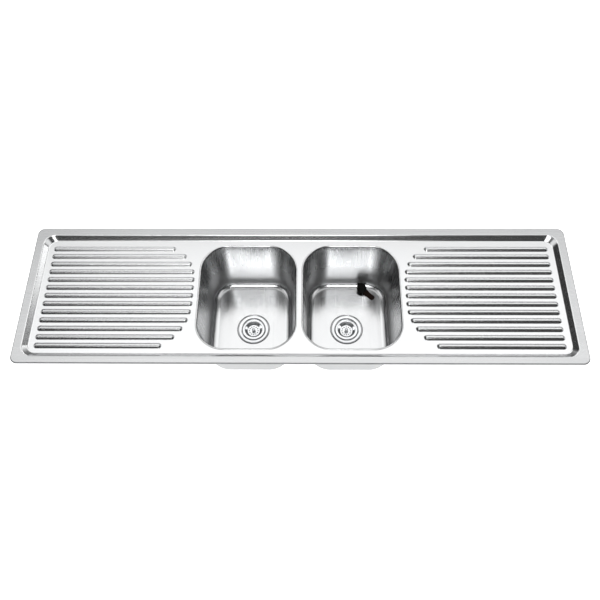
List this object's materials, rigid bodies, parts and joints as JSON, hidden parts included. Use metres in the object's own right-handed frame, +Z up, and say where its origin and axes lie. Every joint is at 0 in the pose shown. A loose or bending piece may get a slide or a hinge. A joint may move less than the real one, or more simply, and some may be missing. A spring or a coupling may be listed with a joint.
{
  "type": "double bowl double drainer sink",
  "caption": "Long stainless steel inset sink top with paired bowls between ribbed drainers, with basket strainer wastes and worktop clamps underneath.",
  "frame": {"origin": "on the vertical centre line of the outline, at the height of the waste outlets' lower ends; the rim's top face is 0.307 m above it", "axes": "+X along the sink to the user's right, +Y to the back of the worktop, +Z up"},
  "size_m": [1.8, 0.5, 0.307],
  "materials": {
    "stainless": "satin brushed 18/10 stainless steel",
    "polished_stainless": "bright polished stainless steel",
    "zinc_plate": "zinc-plated steel, dull",
    "black_rubber": "matt black rubber",
    "foam_seal": "closed-cell foam strip",
    "bitumen_mat": "matt bitumen sound-deadening mat",
    "white_nylon": "natural nylon"
  },
  "bodies": {
    "sink": {"deck": "stainless", "rim_seal": "foam_seal", "bowl_left": "stainless", "wall_mat_left": "bitumen_mat", "floor_mat_left": "bitumen_mat", "drainer_mat_left": "bitumen_mat", "stiffener_left_inner": "zinc_plate", "stiffener_left_outer": "zinc_plate", "waste_body_left": "polished_stainless", "flange_gasket_left": "foam_seal", "under_gasket_left": "black_rubber", "slip_ring_left": "white_nylon", "locknut_left": "zinc_plate", "bowl_right": "stainless", "wall_mat_right": "bitumen_mat", "floor_mat_right": "bitumen_mat", "drainer_mat_right": "bitumen_mat", "stiffener_right_inner": "zinc_plate", "stiffener_right_outer": "zinc_plate", "waste_body_right": "polished_stainless", "flange_gasket_right": "foam_seal", "under_gasket_right": "black_rubber", "slip_ring_right": "white_nylon", "locknut_right": "zinc_plate", "earth_tag": "zinc_plate", "clamp_bracket_left_end": "zinc_plate", "clamp_bracket_right_end": "zinc_plate", "clamp_bracket_front_left": "zinc_plate", "clamp_bracket_front_middle": "zinc_plate", "clamp_bracket_front_right": "zinc_plate", "clamp_bracket_back_left": "zinc_plate", "clamp_bracket_back_middle": "zinc_plate", "clamp_bracket_back_right": "zinc_plate"},
    "basket_left": {"basket_left": "polished_stainless", "stopper_knob_left": "polished_stainless", "stopper_seal_left": "black_rubber"},
    "basket_right": {"basket_right": "polished_stainless", "stopper_knob_right": "polished_stainless", "stopper_seal_right": "black_rubber"},
    "plug": {"loose_plug": "black_rubber", "loose_plug_strap": "black_rubber"},
    "screw_left_end": {"clamp_screw_left_end": "zinc_plate"},
    "claw_left_end": {"clamp_claw_left_end": "zinc_plate"},
    "screw_right_end": {"clamp_screw_right_end": "zinc_plate"},
    "claw_right_end": {"clamp_claw_right_end": "zinc_plate"},
    "screw_front_left": {"clamp_screw_front_left": "zinc_plate"},
    "claw_front_left": {"clamp_claw_front_left": "zinc_plate"},
    "screw_front_middle": {"clamp_screw_front_middle": "zinc_plate"},
    "claw_front_middle": {"clamp_claw_front_middle": "zinc_plate"},
    "screw_front_right": {"clamp_screw_front_right": "zinc_plate"},
    "claw_front_right": {"clamp_claw_front_right": "zinc_plate"},
    "screw_back_left": {"clamp_screw_back_left": "zinc_plate"},
    "claw_back_left": {"clamp_claw_back_left": "zinc_plate"},
    "screw_back_middle": {"clamp_screw_back_middle": "zinc_plate"},
    "claw_back_middle": {"clamp_claw_back_middle": "zinc_plate"},
    "screw_back_right": {"clamp_screw_back_right": "zinc_plate"},
    "claw_back_right": {"clamp_claw_back_right": "zinc_plate"}
  },
  "joints": [
    {"name": "basket_lift_left", "type": "slide", "parent": "sink", "child": "basket_left", "axis": [0, 0, 1], "range_m": [-0.007, 0.28]},
    {"name": "basket_lift_right", "type": "slide", "parent": "sink", "child": "basket_right", "axis": [0, 0, 1], "range_m": [-0.007, 0.28]},
    {"name": "plug_lift", "type": "slide", "parent": "sink", "child": "plug", "axis": [0, 0, 1], "range_m": [0, 0.28]},
    {"name": "clamp_left_end_screw_travel", "type": "slide", "parent": "sink", "child": "screw_left_end", "axis": [0, 0, 1], "range_m": [0, 0.02]},
    {"name": "clamp_left_end_claw_swing", "type": "hinge", "parent": "screw_left_end", "child": "claw_left_end", "pos_m": [-0.85, 0, 0.231], "axis": [0, 0, 1], "range_deg": [0, 90]},
    {"name": "clamp_right_end_screw_travel", "type": "slide", "parent": "sink", "child": "screw_right_end", "axis": [0, 0, 1], "range_m": [0, 0.02]},
    {"name": "clamp_right_end_claw_swing", "type": "hinge", "parent": "screw_right_end", "child": "claw_right_end", "pos_m": [0.85, 0, 0.231], "axis": [0, 0, 1], "range_deg": [0, 90]},
    {"name": "clamp_front_left_screw_travel", "type": "slide", "parent": "sink", "child": "screw_front_left", "axis": [0, 0, 1], "range_m": [0, 0.02]},
    {"name": "clamp_front_left_claw_swing", "type": "hinge", "parent": "screw_front_left", "child": "claw_front_left", "pos_m": [-0.6, -0.2, 0.231], "axis": [0, 0, 1], "range_deg": [0, 90]},
    {"name": "clamp_front_middle_screw_travel", "type": "slide", "parent": "sink", "child": "screw_front_middle", "axis": [0, 0, 1], "range_m": [0, 0.02]},
    {"name": "clamp_front_middle_claw_swing", "type": "hinge", "parent": "screw_front_middle", "child": "claw_front_middle", "pos_m": [0, -0.2, 0.231], "axis": [0, 0, 1], "range_deg": [0, 90]},
    {"name": "clamp_front_right_screw_travel", "type": "slide", "parent": "sink", "child": "screw_front_right", "axis": [0, 0, 1], "range_m": [0, 0.02]},
    {"name": "clamp_front_right_claw_swing", "type": "hinge", "parent": "screw_front_right", "child": "claw_front_right", "pos_m": [0.6, -0.2, 0.231], "axis": [0, 0, 1], "range_deg": [0, 90]},
    {"name": "clamp_back_left_screw_travel", "type": "slide", "parent": "sink", "child": "screw_back_left", "axis": [0, 0, 1], "range_m": [0, 0.02]},
    {"name": "clamp_back_left_claw_swing", "type": "hinge", "parent": "screw_back_left", "child": "claw_back_left", "pos_m": [-0.6, 0.2, 0.231], "axis": [0, 0, 1], "range_deg": [0, 90]},
    {"name": "clamp_back_middle_screw_travel", "type": "slide", "parent": "sink", "child": "screw_back_middle", "axis": [0, 0, 1], "range_m": [0, 0.02]},
    {"name": "clamp_back_middle_claw_swing", "type": "hinge", "parent": "screw_back_middle", "child": "claw_back_middle", "pos_m": [0, 0.2, 0.231], "axis": [0, 0, 1], "range_deg": [0, 90]},
    {"name": "clamp_back_right_screw_travel", "type": "slide", "parent": "sink", "child": "screw_back_right", "axis": [0, 0, 1], "range_m": [0, 0.02]},
    {"name": "clamp_back_right_claw_swing", "type": "hinge", "parent": "screw_back_right", "child": "claw_back_right", "pos_m": [0.6, 0.2, 0.231], "axis": [0, 0, 1], "range_deg": [0, 90]}
  ]
}
